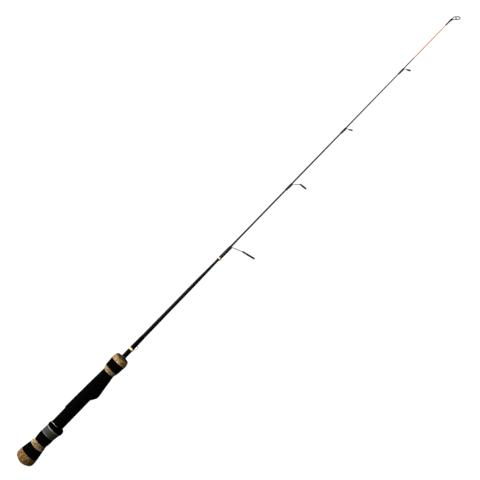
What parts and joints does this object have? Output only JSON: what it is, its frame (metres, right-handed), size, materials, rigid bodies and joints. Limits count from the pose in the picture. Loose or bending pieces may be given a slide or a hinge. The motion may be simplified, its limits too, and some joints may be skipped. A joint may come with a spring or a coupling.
{
  "type": "ice fishing rod",
  "caption": "Short spinning rod for ice fishing with cork and foam grips, a screw-down reel seat with a sliding hood, a tapered blank, single-foot line guides and a bright tip.",
  "frame": {"origin": "centre of the butt's rear face, on the axis of the rod", "axes": "+X along the rod from butt to tip, -Z toward the reel and the line guides, +Y across the rod"},
  "size_m": [0.7603, 0.025, 0.0444],
  "materials": {
    "cork": "matt burl cork",
    "foam": "matt EVA foam",
    "seat": "satin",
    "hood": "satin",
    "gunmetal": "anodised, bright-cut edges",
    "steel": "bright",
    "carbon": "clear-coated carbon fibre",
    "tip": "bright paint",
    "thread": "thread under epoxy",
    "gold": "metallic thread under epoxy",
    "frame": "black",
    "ring": "polished ceramic"
  },
  "bodies": {
    "rod": {"blank": "carbon", "tip_section": "tip", "tip_top_frame": "frame", "tip_top_ring": "ring", "butt_cork_cap": "cork", "butt_eva": "foam", "rear_cork_ring": "cork", "reel_seat_body": "seat", "fore_cork_ring": "cork", "fore_eva": "foam", "front_cork_ring": "cork", "winding_check": "steel", "butt_wrap": "thread", "butt_wrap_band": "gold", "keeper_wrap": "thread", "hook_keeper": "steel", "guide_1_frame": "frame", "guide_1_ring": "ring", "guide_1_wrap": "thread", "guide_2_frame": "frame", "guide_2_ring": "ring", "guide_2_wrap": "thread", "guide_3_frame": "frame", "guide_3_ring": "ring", "guide_3_wrap": "thread", "guide_4_frame": "frame", "guide_4_ring": "ring", "guide_4_wrap": "thread", "guide_1_band": "gold"},
    "hood": {"sliding_hood": "hood", "hood_sleeve": "gunmetal", "hood_trim": "steel"},
    "nut": {"lock_nut": "hood", "nut_grip": "foam"}
  },
  "joints": [
    {"name": "hood_slide", "type": "slide", "parent": "rod", "child": "hood", "axis": [1, 0, 0], "range_m": [0, 0.0161]},
    {"name": "nut_spin", "type": "hinge", "parent": "hood", "child": "nut", "pos_m": [0.0415, 0, 0], "axis": [1, 0, 0], "range_deg": [0, 2880]}
  ],
  "couplings": [
    {"joint": "hood_slide", "follows": "nut_spin", "m_per_rad": 0.00031831}
  ]
}
